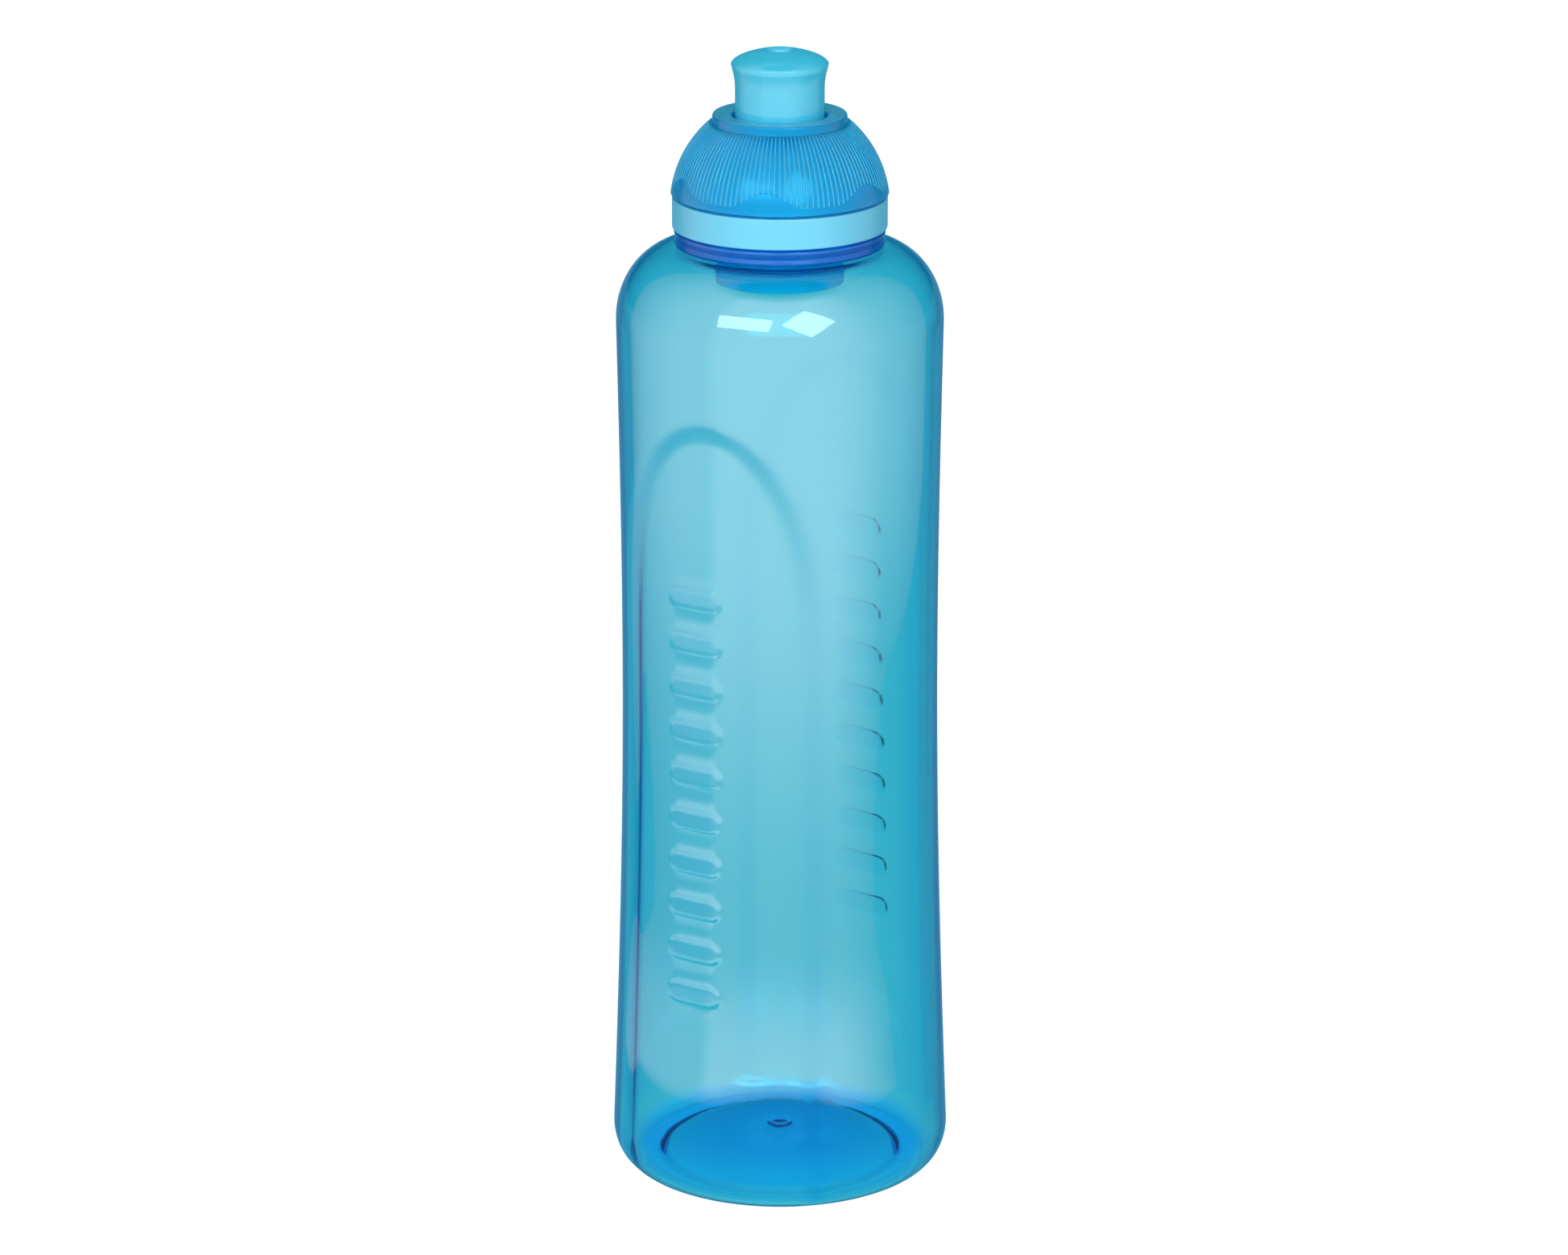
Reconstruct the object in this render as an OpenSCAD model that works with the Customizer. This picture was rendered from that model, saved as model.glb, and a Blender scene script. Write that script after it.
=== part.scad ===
// Sports squeeze bottle with a twist-open drinking spout, 247.5 mm tall with the spout raised.
// Frame: millimetres, +Z up, origin at the middle of the standing face. The front is -Y.
// The spout is drawn raised, and the cap is drawn screwed home.

/* [Bottle] */
// Diameter of the body just above the base curve
base_d = 73.4; // [72.6:0.1:74]
// Diameter of the body at the start of the shoulder
shoulder_d = 69.4; // [69:0.1:72]
// How far the grip waist pulls in on the radius
waist_dip = 1.65; // [0.5:0.05:2]
// Wall thickness of the squeezable body
wall = 1.3; // [1.1:0.1:1.6]
// Height of the shoulder's top face, where the neck starts
shoulder_top = 205.8; // [205:0.1:205.9]
// Depth of the two arched grip panels
panel_depth = 0.9; // [0.4:0.1:1]
// Height of the arched panels' crown
panel_top = 172.5; // [140:0.5:175]
// Compass angle of the first panel's middle, from +X towards +Y
panel_turn = -117.5; // [-180:0.5:180]
// Height of the dome pushed up in the base
push_up = 6; // [4:0.5:8]

/* [Neck and thread] */
// Outside diameter of the neck
neck_d = 34.8; // [34.6:0.1:35]
// Height of the neck's lip
lip_z = 218; // [217.8:0.1:218]
// Lead of the thread, in one turn
thread_lead = 4.5; // [4.3:0.1:4.6]
// How far the thread stands out
thread_rise = 1.1; // [0.8:0.1:1.2]

/* [Cap] */
// Outside diameter of the beaded rim
rim_d = 44.8; // [44:0.1:45]
// Outside diameter of the opaque cover ring's band
band_d = 45.4; // [44.6:0.1:45.4]
// Outside diameter of the well that hangs in the neck
well_d = 26.6; // [26.2:0.1:26.8]
// Bore of the guide that the spout slides in
guide_bore_d = 21; // [20.9:0.02:21.1]

/* [Twist dome] */
// Radius that the dome's outside would have at its equator
dome_r = 23.2; // [23:0.05:23.3]
// Height of the dome's ellipse above its equator
dome_rise = 23.75; // [23.5:0.05:24]
// Height of the smooth collar's top face
collar_top = 234.1; // [233.6:0.1:234.4]
// Turn that takes the spout from raised to closed
twist_angle = 70; // [65:1:80]

/* [Spout] */
// Height of the spout's tip when it is raised
tip_z = 247.5; // [247:0.1:248]
// Diameter of the flared lip
flare_d = 20.5; // [20:0.1:20.6]
// Diameter of the bare barrel above the collar
barrel_d = 18.8; // [18.6:0.1:19]
// Diameter of the outlet hole
outlet_d = 4.8; // [4:0.1:5]
// Travel of the spout between raised and closed
travel = 8.5; // [7:0.5:8.5]

/* [Hidden] */
$fn = 96;
arc_steps = 10;
overlap = 0.4;      // how far a thread is sunk in its wall
face_gap = 0.05;    // between faces that press together in use
slide_gap = 0.3;    // between parts that move past each other

// Bottle
base_r = base_d / 2;
shoulder_r = shoulder_d / 2;
foot_r = 31;
foot_in_r = 26.5;
corner_rise = 8;
shoulder_start = 190;
shoulder_in_r = 21.7;
side_steps = 18;
base_wall = 1.7;
neck_r = neck_d / 2;
neck_bore_r = neck_r - 1.4;
panel_half = 22;
panel_arch_rise = 44.5;
panel_foot = 0.8;
panel_reach = 25;       // depth of the cutting slab, past the body's outside
heel_in_r = 30;         // radius where the inner corner starts to rise
heel_lift = 0.2;

// Thread
thread_base_w = 2;
thread_crest_w = 1;
neck_thread_z = 209.6;
neck_thread_turns = 1.25;
cap_thread_r = neck_r + thread_rise + slide_gap;
cap_thread_drop = 1.7;  // the cap's ridge lies this far below the neck's

// Screw cap
deck_under = lip_z + 1.5;
deck_top = deck_under + 0.8;
rim_r = rim_d / 2;
rim_bottom = 206.2;
rim_top = 209.9;
bead_r = (rim_top - rim_bottom) / 4;
skirt_r = 20.8;
skirt_top = 215.6;
crown_r = 19.5;         // outside of the cap above the skirt's step
moat_wall_r = 15.7;
moat_r = 14.6;
moat_under = 208.2;
moat_floor = 209.6;
well_r = well_d / 2;
well_bore_r = 12.2;
well_bottom = 198.5;

// Cover ring
cover_top = 221;
band_r = band_d / 2;
band_top = 216.5;
snap_waist_r = 20.2;
snap_flange_r = 20.75;
snap_flange_z = 219;

// Valve insert
guide_r = guide_bore_d / 2;
guide_top = 225.2;
insert_floor = well_bottom + 0.2;
insert_floor_top = insert_floor + 1.4;
stem_r = 2.6;
stem_shoulder = 233.4;
pin_r = 2;
pin_top = 238.4;
flow_hole_r = 1.9;
flow_circle_r = 6.4;
flow_holes = 8;
seal_r = 4;
seal_thick = 1.3;

// Spout, raised
spout_bore_r = 7.4;
barrel_r = barrel_d / 2;
slide_r = guide_r - slide_gap;
spout_foot = insert_floor_top + travel + slide_gap;
spout_shoulder = 230.9;
flare_r = flare_d / 2;
flare_z = 244.3;
flare_start = 239.5;
ceiling_z = 243.4;
lug_r = 2;
lug_reach = 14;
lug_z = 223.9;
lug_turn = -100;
ring_z = 210.8;
ring_cord_r = 0.9;
ring_r = guide_r - face_gap - ring_cord_r;
groove_half = 1;
groove_r = ring_r - ring_cord_r - face_gap;

// Dome
dome_mid = 214;
dome_wall = 1.4;
dome_bottom = 217;
collar_r = 14.2;
collar_bore_r = 10.1;
collar_foot = 232.1;
collar_edge = 1.2;
collar_under = spout_shoulder + 0.4;
snap_bead_r = 20.5;
snap_room_r = 21.3;
sleeve_in_r = well_bore_r + 0.4;
sleeve_r = moat_r - slide_gap;
sleeve_bottom = moat_floor + 0.6;
sleeve_head = guide_top + 0.4;  // above this the sleeve closes in round the spout
cam_half = lug_r + 0.4;
cam_over = 11;      // extra slot past the lug at each end, in degrees
cam_rate = travel / twist_angle;

// Points of an elliptical arc, from one angle to another, about a centre in the profile plane.
function arc(cx, cz, a, b, from, to, steps = arc_steps) =
    [for (i = [0:steps]) let (t = from + (to - from) * i / steps) [cx + a * cos(t), cz + b * sin(t)]];

// Radius of the body's side at a height: a straight taper with a sine-shaped waist.
function side_r(z) =
    let (u = (z - corner_rise) / (shoulder_start - corner_rise))
    base_r + (shoulder_r - base_r) * u - waist_dip * sin(180 * u);

// Outline of the body's side from foot to shoulder, set inwards by `inset`.
function side_outline(inset) = concat(
    arc(foot_r, corner_rise, base_r - inset - foot_r, corner_rise - inset / 2, -90, 0),
    [for (i = [1:side_steps])
        let (z = corner_rise + (shoulder_start - corner_rise) * i / side_steps)
        [side_r(z) - inset, z]]
);

// The convex shoulder from the side's last point up to the top face, set inwards by `inset`.
function shoulder_outline(inset) = [for (i = [1:arc_steps]) let (t = 90 * i / arc_steps) [
    shoulder_in_r + (shoulder_r - shoulder_in_r - inset) * cos(t),
    shoulder_start + (shoulder_top - shoulder_start - inset) * sin(t)
]];

// Height of the pushed-up base at a radius: nearly flat in the middle and steep at the foot.
function dome_z(r, rim, low, high) = low + (high - low) * (1 - pow(r / rim, 4));

// The base's dome from its middle out to `rim`.
function base_outline(rim, low, high) =
    [for (i = [0:arc_steps]) let (r = rim * i / arc_steps) [r, dome_z(r, rim, low, high)]];

// One ring of a helical ridge: four corners at one angle, narrow at the crest.
function ridge_ring(angle, z, r_base, r_crest, w_base, w_crest) = [
    [r_base * cos(angle), r_base * sin(angle), z - w_base / 2],
    [r_crest * cos(angle), r_crest * sin(angle), z - w_crest / 2],
    [r_crest * cos(angle), r_crest * sin(angle), z + w_crest / 2],
    [r_base * cos(angle), r_base * sin(angle), z + w_base / 2]
];

// A ridge that climbs `lead` in each turn. It fades in and out over `fade` degrees at its ends.
module helix_ridge(r_base, r_crest, w_base, w_crest, z, lead, from, to, fade, step = 6) {
    count = ceil((to - from) / step);
    function angle(i) = from + (to - from) * i / count;
    function grown(a) = fade == 0 ? 1 : max(0.1, min(1, (a - from) / fade, (to - a) / fade));
    points = [for (i = [0:count]) let (a = angle(i))
        each ridge_ring(a, z + lead * (a - from) / 360, r_base,
            r_base + (r_crest - r_base) * grown(a), w_base, w_crest)];
    sides = [for (i = [0:count - 1], k = [0:3]) let (n = (k + 1) % 4)
        [4 * i + k, 4 * i + n, 4 * i + 4 + n, 4 * i + 4 + k]];
    last = 4 * count;
    turned = r_crest > r_base;
    faces = concat(sides, [[3, 2, 1, 0], [last, last + 1, last + 2, last + 3]]);
    polyhedron(points, turned ? faces : [for (f = faces) [for (k = [len(f) - 1:-1:0]) f[k]]]);
}

// An arch-topped slab that cuts one panel, less the panel's own floor.
module panel_cutter(inset, grow) {
    leg_top = panel_top - panel_arch_rise;
    half = panel_half + grow;
    difference() {
        rotate([0, 0, panel_turn])
            translate([shoulder_in_r, 0, 0])
                rotate([90, 0, 90])
                    linear_extrude(height = panel_reach)
                        polygon(concat(
                            [[-half, panel_foot], [half, panel_foot]],
                            arc(0, leg_top, half, panel_arch_rise + grow, 0, 180, 2 * arc_steps)
                        ));
        rotate_extrude()
            polygon(concat(
                [[0, 0]],
                side_outline(inset + panel_depth),
                [[0, shoulder_start]]
            ));
    }
}

module panel_pair(inset, grow) {
    panel_cutter(inset, grow);
    rotate([0, 0, 180])
        panel_cutter(inset, grow);
}

module body_outside() {
    rotate_extrude()
        polygon(concat(
            base_outline(foot_in_r, 0, push_up - base_wall / 2),
            side_outline(0),
            shoulder_outline(0),
            [[neck_r, shoulder_top], [neck_r, lip_z], [0, lip_z]]
        ));
}

module body_inside() {
    inner_base = base_outline(foot_in_r - 1, base_wall, base_wall + push_up);
    inner_side = [for (p = side_outline(wall)) if (p[1] > corner_rise / 2) p];
    difference() {
        rotate_extrude()
            polygon(concat(
                inner_base,
                [[heel_in_r, base_wall + heel_lift]],
                inner_side,
                shoulder_outline(wall),
                [[neck_bore_r, shoulder_top - wall], [neck_bore_r, lip_z + 1], [0, lip_z + 1]]
            ));
        panel_pair(wall, wall);
    }
}

module bottle_body() {
    color("#7fd0e0", 0.6)
        union() {
            difference() {
                body_outside();
                panel_pair(0, 0);
                body_inside();
            }
            helix_ridge(neck_r - overlap, neck_r + thread_rise, thread_base_w + overlap,
                thread_crest_w, neck_thread_z, thread_lead, 0, 360 * neck_thread_turns, 30);
        }
}

module neck_gasket() {
    color("#e8f4f6")
        rotate_extrude()
            polygon([
                [moat_wall_r + 0.2, lip_z + face_gap],
                [cap_thread_r - 0.2, lip_z + face_gap],
                [cap_thread_r - 0.2, deck_under - face_gap],
                [moat_wall_r + 0.2, deck_under - face_gap]
            ]);
}

// The cap's skirt, deck, moat and well in one section. The neck fills the space between
// the skirt and the moat's wall.
module cap_section() {
    polygon(concat(
        [[cap_thread_r, rim_bottom]],
        arc(rim_r - bead_r, rim_bottom + bead_r, bead_r, bead_r, -90, 75, 8),
        arc(rim_r - bead_r, rim_top - bead_r, bead_r, bead_r, -75, 90, 8),
        [
            [skirt_r, rim_top],
            [skirt_r, skirt_top],
            [crown_r, skirt_top],
            [crown_r, deck_top],
            [moat_r, deck_top],
            [moat_r, moat_floor],
            [well_bore_r, moat_floor],
            [well_bore_r, well_bottom],
            [well_r - 0.4, well_bottom],
            [well_r, well_bottom + 0.4],
            [well_r, moat_under],
            [moat_wall_r - 1, moat_under],
            [moat_wall_r, moat_under + 1],
            [moat_wall_r, deck_under],
            [cap_thread_r, deck_under]
        ]
    ));
}

module screw_cap() {
    color("#0a58a6", 0.85)
        union() {
            rotate_extrude()
                cap_section();
            helix_ridge(cap_thread_r + overlap, cap_thread_r - thread_rise,
                thread_base_w + overlap, thread_crest_w, neck_thread_z - cap_thread_drop,
                thread_lead, 0, 360 * neck_thread_turns, 30);
        }
}

// Opaque ring that covers the cap's skirt and deck. The dome snaps over its flange.
module cover_ring() {
    edge = 0.35;
    bevel = 1;
    color("#5fc4e0")
        rotate_extrude()
            polygon(concat(
                [[skirt_r, rim_top], [band_r - edge, rim_top]],
                arc(band_r - edge, rim_top + edge, edge, edge, -90, 0, 4),
                arc(band_r - edge, band_top - edge, edge, edge, 0, 90, 4),
                [
                    [snap_waist_r, band_top],
                    [snap_waist_r, snap_flange_z],
                    [snap_flange_r, snap_flange_z],
                    [snap_flange_r, cover_top - bevel],
                    [snap_flange_r - bevel, cover_top],
                    [moat_r, cover_top],
                    [moat_r, deck_top],
                    [crown_r, deck_top],
                    [crown_r, skirt_top],
                    [skirt_r, skirt_top]
                ]
            ));
}

// Guide tube, spider floor with flow holes, and the stem that closes the outlet.
module valve_insert() {
    slot_half = lug_r + slide_gap;
    slot_bottom = lug_z - travel - slot_half;
    color("#2f8fd0", 0.8)
        difference() {
            union() {
                difference() {
                    translate([0, 0, insert_floor])
                        cylinder(r = well_bore_r, h = guide_top - insert_floor);
                    translate([0, 0, insert_floor_top])
                        cylinder(r = guide_r, h = guide_top - insert_floor);
                }
                translate([0, 0, insert_floor])
                    cylinder(r = stem_r, h = stem_shoulder - insert_floor);
                translate([0, 0, insert_floor])
                    cylinder(r = pin_r, h = pin_top - pin_r / 2 - insert_floor);
                translate([0, 0, pin_top - pin_r / 2])
                    cylinder(r1 = pin_r, r2 = pin_r / 2, h = pin_r / 2);
            }
            for (k = [0:flow_holes - 1])
                rotate([0, 0, 360 * k / flow_holes])
                    translate([flow_circle_r, 0, insert_floor - 1])
                        cylinder(r = flow_hole_r, h = 4);
            for (side = [0, 180])
                rotate([0, 0, lug_turn + side])
                    translate([guide_r - 1, -slot_half, slot_bottom])
                        cube([well_bore_r, 2 * slot_half, guide_top]);
        }
}

module stem_seal() {
    color("#f2f6f7")
        translate([0, 0, stem_shoulder])
            difference() {
                cylinder(r = seal_r, h = seal_thick);
                translate([0, 0, -1])
                    cylinder(r = pin_r, h = seal_thick + 2);
            }
}

module dome_section() {
    rim_edge = 0.35;
    foot_angle = asin((dome_bottom + rim_edge - dome_mid) / dome_rise);
    head_angle = asin((collar_foot - dome_mid) / dome_rise);
    in_a = dome_r - dome_wall;
    in_b = dome_rise - dome_wall;
    in_foot_angle = asin((snap_flange_z + 0.8 - dome_mid) / in_b);
    in_head_angle = acos(sleeve_r / in_a);
    polygon(concat(
        [[snap_bead_r + 0.4, dome_bottom], [dome_r * cos(foot_angle) - rim_edge, dome_bottom]],
        arc(0, dome_mid, dome_r, dome_rise, foot_angle, head_angle, 14),
        [[collar_r, collar_foot]],
        arc(collar_r - collar_edge, collar_top - collar_edge, collar_edge, collar_edge, 0, 90, 6),
        [
            [collar_bore_r + 0.3, collar_top],
            [collar_bore_r, collar_top - 0.3],
            [collar_bore_r, collar_under],
            [guide_r, collar_under],
            [guide_r, sleeve_head],
            [sleeve_in_r, sleeve_head],
            [sleeve_in_r, sleeve_bottom],
            [sleeve_r, sleeve_bottom]
        ],
        arc(0, dome_mid, in_a, in_b, in_head_angle, in_foot_angle, 14),
        [
            [snap_room_r, snap_flange_z],
            [snap_room_r, snap_flange_z - 0.3],
            [snap_bead_r, dome_bottom + 1.1],
            [snap_bead_r, dome_bottom + 0.4]
        ]
    ));
}

module cam_slot() {
    span = twist_angle + 2 * cam_over;
    helix_ridge(guide_r - 0.6, sleeve_r + 0.6, 2 * cam_half, 2 * cam_half,
        lug_z - cam_rate * (twist_angle + cam_over), 360 * cam_rate,
        lug_turn - twist_angle - cam_over, lug_turn - twist_angle - cam_over + span, 0, 4);
}

module twist_dome() {
    color("#2aa6e0", 0.7)
        difference() {
            rotate_extrude()
                dome_section();
            cam_slot();
            rotate([0, 0, 180])
                cam_slot();
        }
}

module spout_section() {
    lip_steps = 6;
    edge_drop = 1.1;
    edge_angle = acos((outlet_d / 2 + 0.5) / flare_r);
    polygon(concat(
        [
            [spout_bore_r, spout_foot],
            [slide_r, spout_foot],
            [slide_r, ring_z - groove_half],
            [groove_r, ring_z - groove_half],
            [groove_r, ring_z + groove_half],
            [slide_r, ring_z + groove_half],
            [slide_r, spout_shoulder - 0.8],
            [barrel_r, spout_shoulder]
        ],
        [for (i = [0:lip_steps]) let (u = i / lip_steps)
            [barrel_r + (flare_r - barrel_r) * u * u, flare_start + (flare_z - flare_start) * u]],
        arc(0, flare_z, flare_r, (tip_z - flare_z) / sin(edge_angle), 8, edge_angle, 12),
        [
            [outlet_d / 2, tip_z - edge_drop],
            [outlet_d / 2, ceiling_z],
            [spout_bore_r - 1.5, ceiling_z],
            [spout_bore_r, ceiling_z - 1.5]
        ]
    ));
}

module spout() {
    color("#63c8e2")
        union() {
            rotate_extrude()
                spout_section();
            for (side = [0, 180])
                rotate([0, 0, lug_turn + side])
                    translate([slide_r - 1, 0, lug_z])
                        rotate([0, 90, 0])
                            cylinder(r = lug_r, h = lug_reach - slide_r + 1);
        }
}

module spout_o_ring() {
    color("#dfe9ec")
        translate([0, 0, ring_z])
            rotate_extrude()
                translate([ring_r, 0])
                    circle(r = ring_cord_r, $fn = 32);
}

bottle_body();
neck_gasket();
screw_cap();
cover_ring();
valve_insert();
stem_seal();
twist_dome();
spout();
spout_o_ring();
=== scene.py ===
"""Looks of the sports squeeze bottle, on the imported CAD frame.

The pieces' lengths are in millimetres, as in the CAD. The floor, the lights and the camera are in metres.
Azimuths are degrees from the front, counted towards the right.
"""

import math

import bpy
import numpy as np
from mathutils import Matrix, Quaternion, Vector


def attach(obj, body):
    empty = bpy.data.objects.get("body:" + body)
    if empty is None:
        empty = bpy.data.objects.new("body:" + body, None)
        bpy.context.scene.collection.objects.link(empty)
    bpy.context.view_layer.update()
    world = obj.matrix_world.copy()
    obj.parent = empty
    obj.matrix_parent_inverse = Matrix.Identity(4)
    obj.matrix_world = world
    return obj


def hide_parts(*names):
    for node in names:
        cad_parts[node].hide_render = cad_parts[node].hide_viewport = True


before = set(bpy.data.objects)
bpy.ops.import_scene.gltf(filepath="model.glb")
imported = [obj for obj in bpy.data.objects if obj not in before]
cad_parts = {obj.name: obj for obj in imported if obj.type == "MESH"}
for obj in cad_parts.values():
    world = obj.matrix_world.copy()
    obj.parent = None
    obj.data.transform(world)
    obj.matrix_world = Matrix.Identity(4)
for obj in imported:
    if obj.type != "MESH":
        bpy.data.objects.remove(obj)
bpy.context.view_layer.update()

MM = 0.001

# ---------------------------------------------------------------- dimensions, mostly the CAD's own

# body: wall, corner at the foot, shoulder, foot ring and push-up base
BASE_R, SHOULDER_R, WAIST_DIP, WALL = 36.7, 34.7, 1.65, 1.3
CORNER_RISE, SHOULDER_Z, SHOULDER_TOP, SHOULDER_IN_R = 8.0, 190.0, 205.8, 21.7
FOOT_R, FOOT_IN_R, HEEL_R = 31.0, 26.5, 30.0
BASE_WALL, PUSH_UP, BASE_IN_R = 1.7, 6.0, 24.8
NUB_R = 2.6  # the small round nub in the middle of the base
STREAK, SEAM_RISE = 0.07, 0.07
# neck and thread
NECK_R, NECK_BORE_R, LIP_Z = 17.4, 16.0, 218.0
THREAD_LEAD, THREAD_RISE, THREAD_TURNS = 4.5, 1.1, 1.25
THREAD_HALF, THREAD_FLANK, THREAD_FADE = 1.15, 0.65, 30.0  # the fade is in degrees
NECK_THREAD_Z, CAP_THREAD_Z, CAP_THREAD_R = 209.6, 207.9, 18.8
# arched panels: half-width in degrees, crown and springing height
PANEL_AZ, PANEL_DEPTH = -27.5, 0.78
PANEL_OUTER = (43.0, 174.0, 134.0)
PANEL_INNER = (34.5, 170.8, 123.0)
BEVEL_GROW = 4.0  # the wall's inside follows the panels this much further out, so their bevels are thicker
# grip bars
BAR_AZ, BAR_AT_R, BAR_LENGTH, BAR_HALF, BAR_RISE, BAR_EDGE = -33.0, 33.2, 13.0, 2.3, 0.3, 0.8
BARS, BAR_FIRST_Z, BAR_PITCH = 10, 48.0, 9.8
# cap: rim, skirt, deck and well
RIM_FOOT, RIM_TOP, SKIRT_R, SKIRT_TOP = 206.2, 209.9, 20.8, 215.6
DECK_R, DECK_TOP, DECK_UNDER = 19.5, 220.3, 219.5
MOAT_R, MOAT_FLOOR, MOAT_WALL_R, MOAT_UNDER = 14.6, 209.6, 15.7, 208.2
WELL_R, WELL_BORE_R, WELL_FOOT = 13.3, 12.2, 198.5
# cover ring
RING_R, RING_FOOT, RING_TOP, RING_LEDGE_R = 22.7, 209.95, 216.5, 20.2
RING_IN_R, RING_IN_TOP, RING_DECK_UNDER, RING_DECK_TOP = 20.85, 215.65, 220.35, 221.0
# dome, collar and cam sleeve
DOME_Z, DOME_A, DOME_B, DOME_WALL = 214.0, 23.2, 23.75, 1.4
DOME_FOOT, DOME_FOOT_IN_R, DOME_SHELL_FOOT = 217.0, 20.9, 219.8
COLLAR_R, COLLAR_FOOT, COLLAR_TOP, COLLAR_BORE_R, COLLAR_DISH = 14.2, 232.1, 234.1, 10.1, 0.28
SLEEVE_R, SLEEVE_IN_R, SLEEVE_FOOT, SLEEVE_HEAD = 14.3, 12.6, 210.2, 228.4
GUIDE_R, COLLAR_UNDER = 10.5, 231.3
CAM_LOW, CAM_RISE, CAM_HALF = 214.06, 11.17, 2.4
CAM_START, CAM_SPAN = -91.0, 92.0  # degrees
RIBS, RIB_HALF, RIB_RISE, RIB_LEAD = 120, 0.55, 0.17, 0.36  # half-width in degrees
LOBE_AZ, LOBE_PITCH, LOBE_LOW, LOBE_RISE = -7.0, 60.0, 218.7, 3.0
# spout
TIP_Z, FLARE_Z, FLARE_R, FLARE_START, BARREL_R = 247.5, 244.3, 10.25, 239.5, 9.4
SPOUT_R, SPOUT_BORE_R, SPOUT_FOOT, SPOUT_SHOULDER, GROOVE_R = 10.2, 7.4, 208.9, 230.1, 8.6
OUTLET_R, OUTLET_UNDER = 2.4, 243.4
LUG_Z, LUG_ROOT, LUG_TIP, LUG_AZ = 223.9, 8.8, 14.0, -10.0


# ---------------------------------------------------------------- mesh helpers


def smooth(t):
    """0 to 1 with flat ends, from a value that is clipped to 0..1."""
    t = np.clip(t, 0.0, 1.0)
    return t * t * (3.0 - 2.0 * t)


def soften(path, closed=True, steps=5):
    """Points (r, z) of a section whose corners (r, z, cut) are rounded, with a close row on each side of
    a rounding."""
    out = []
    count = len(path)
    for k, (r, z, cut) in enumerate(path):
        here = np.array((r, z), float)
        at_end = not closed and k in (0, count - 1)
        if cut <= 0 or at_end:
            out.append(here)
            continue
        before = np.array(path[k - 1][:2], float) - here
        after = np.array(path[(k + 1) % count][:2], float) - here
        reach_a = min(cut, 0.45 * np.linalg.norm(before))
        reach_b = min(cut, 0.45 * np.linalg.norm(after))
        start = here + before / np.linalg.norm(before) * reach_a
        end = here + after / np.linalg.norm(after) * reach_b
        if np.linalg.norm(before) > 4 * reach_a:
            out.append(start + before / np.linalg.norm(before) * 0.3 * reach_a)
        for s in np.linspace(0, 1, steps + 1):
            out.append((1 - s) ** 2 * start + 2 * s * (1 - s) * here + s * s * end)
        if np.linalg.norm(after) > 4 * reach_b:
            out.append(end + after / np.linalg.norm(after) * 0.3 * reach_b)
    return np.array(out)


def arc(cr, cz, a, b, first, last, steps):
    """Corners of an elliptical arc in the section plane, without rounding."""
    return [
        (cr + a * math.cos(math.radians(t)), cz + b * math.sin(math.radians(t)), 0)
        for t in np.linspace(first, last, steps + 1)
    ]


def azimuths(columns):
    """Degrees from the front, counted towards the right, from -180."""
    return np.arange(columns) * 360.0 / columns - 180.0


def outward(verts, faces):
    """The faces of a closed surface of triangles and quads, all turned outwards."""
    volume = 0.0
    for size in (3, 4):
        group = np.array([f for f in faces if len(f) == size])
        for k in range(1, size - 1):
            if len(group):
                a, b, c = verts[group[:, 0]], verts[group[:, k]], verts[group[:, k + 1]]
                volume += float(np.einsum("ij,ij->i", a, np.cross(b, c)).sum())
    if volume < 0:
        return [tuple(reversed(f)) for f in faces]
    return faces


def add_piece(name, verts, faces, sharp=None):
    """A new object from points in millimetres, with its faces turned outwards. Edges that bend by more than
    `sharp` degrees stay sharp."""
    verts = np.asarray(verts, float)
    faces = outward(verts, faces)
    mesh = bpy.data.meshes.new(name)
    mesh.from_pydata((verts * MM).tolist(), [], [tuple(int(i) for i in f) for f in faces])
    mesh.update()
    mesh.shade_smooth()
    if sharp:
        mesh.set_sharp_from_angle(angle=math.radians(sharp))
    piece = bpy.data.objects.new(name, mesh)
    bpy.context.scene.collection.objects.link(piece)
    return piece


def turned_points(r, z, az):
    """Points of a table of rows and columns of radii and heights, at the columns' azimuths."""
    az = np.radians(az)[None, :]
    return np.stack([r * np.sin(az), -r * np.cos(az), z + 0 * az], -1).reshape(-1, 3)


def turned_faces(rows, columns, closed=True, dropped=None):
    """Quads between neighbouring rows and columns, less those that are dropped."""
    i = np.arange(rows if closed else rows - 1)[:, None]
    j = np.arange(columns)[None, :]
    after_i, after_j = (i + 1) % rows, (j + 1) % columns
    quads = np.stack(
        [i * columns + j, i * columns + after_j, after_i * columns + after_j, after_i * columns + j],
        -1,
    )
    if dropped is not None:
        return quads[~dropped[: len(i)]]
    return quads.reshape(-1, 4)


def turned(name, section, az, pole=None, radius=None):
    """A turned piece with columns at the azimuths given. `pole` holds the two heights at which an open section
    is closed on the axis. `radius` changes the table of radii, given the heights and azimuths."""
    section = np.asarray(section, float)
    columns = len(az)
    r = np.repeat(section[:, :1], columns, 1)
    z = np.repeat(section[:, 1:2], columns, 1)
    if radius is not None:
        r = radius(r, z, az[None, :])
    verts = turned_points(r, z, az)
    faces = [tuple(q) for q in turned_faces(len(section), columns, pole is None)]
    if pole is not None:
        first, last = len(verts), len(verts) + 1
        verts = np.vstack([verts, [[0, 0, pole[0]], [0, 0, pole[1]]]])
        top = (len(section) - 1) * columns
        for j in range(columns):
            k = (j + 1) % columns
            faces.append((k, j, first))
            faces.append((top + j, top + k, last))
    return add_piece(name, verts, faces)


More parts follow.
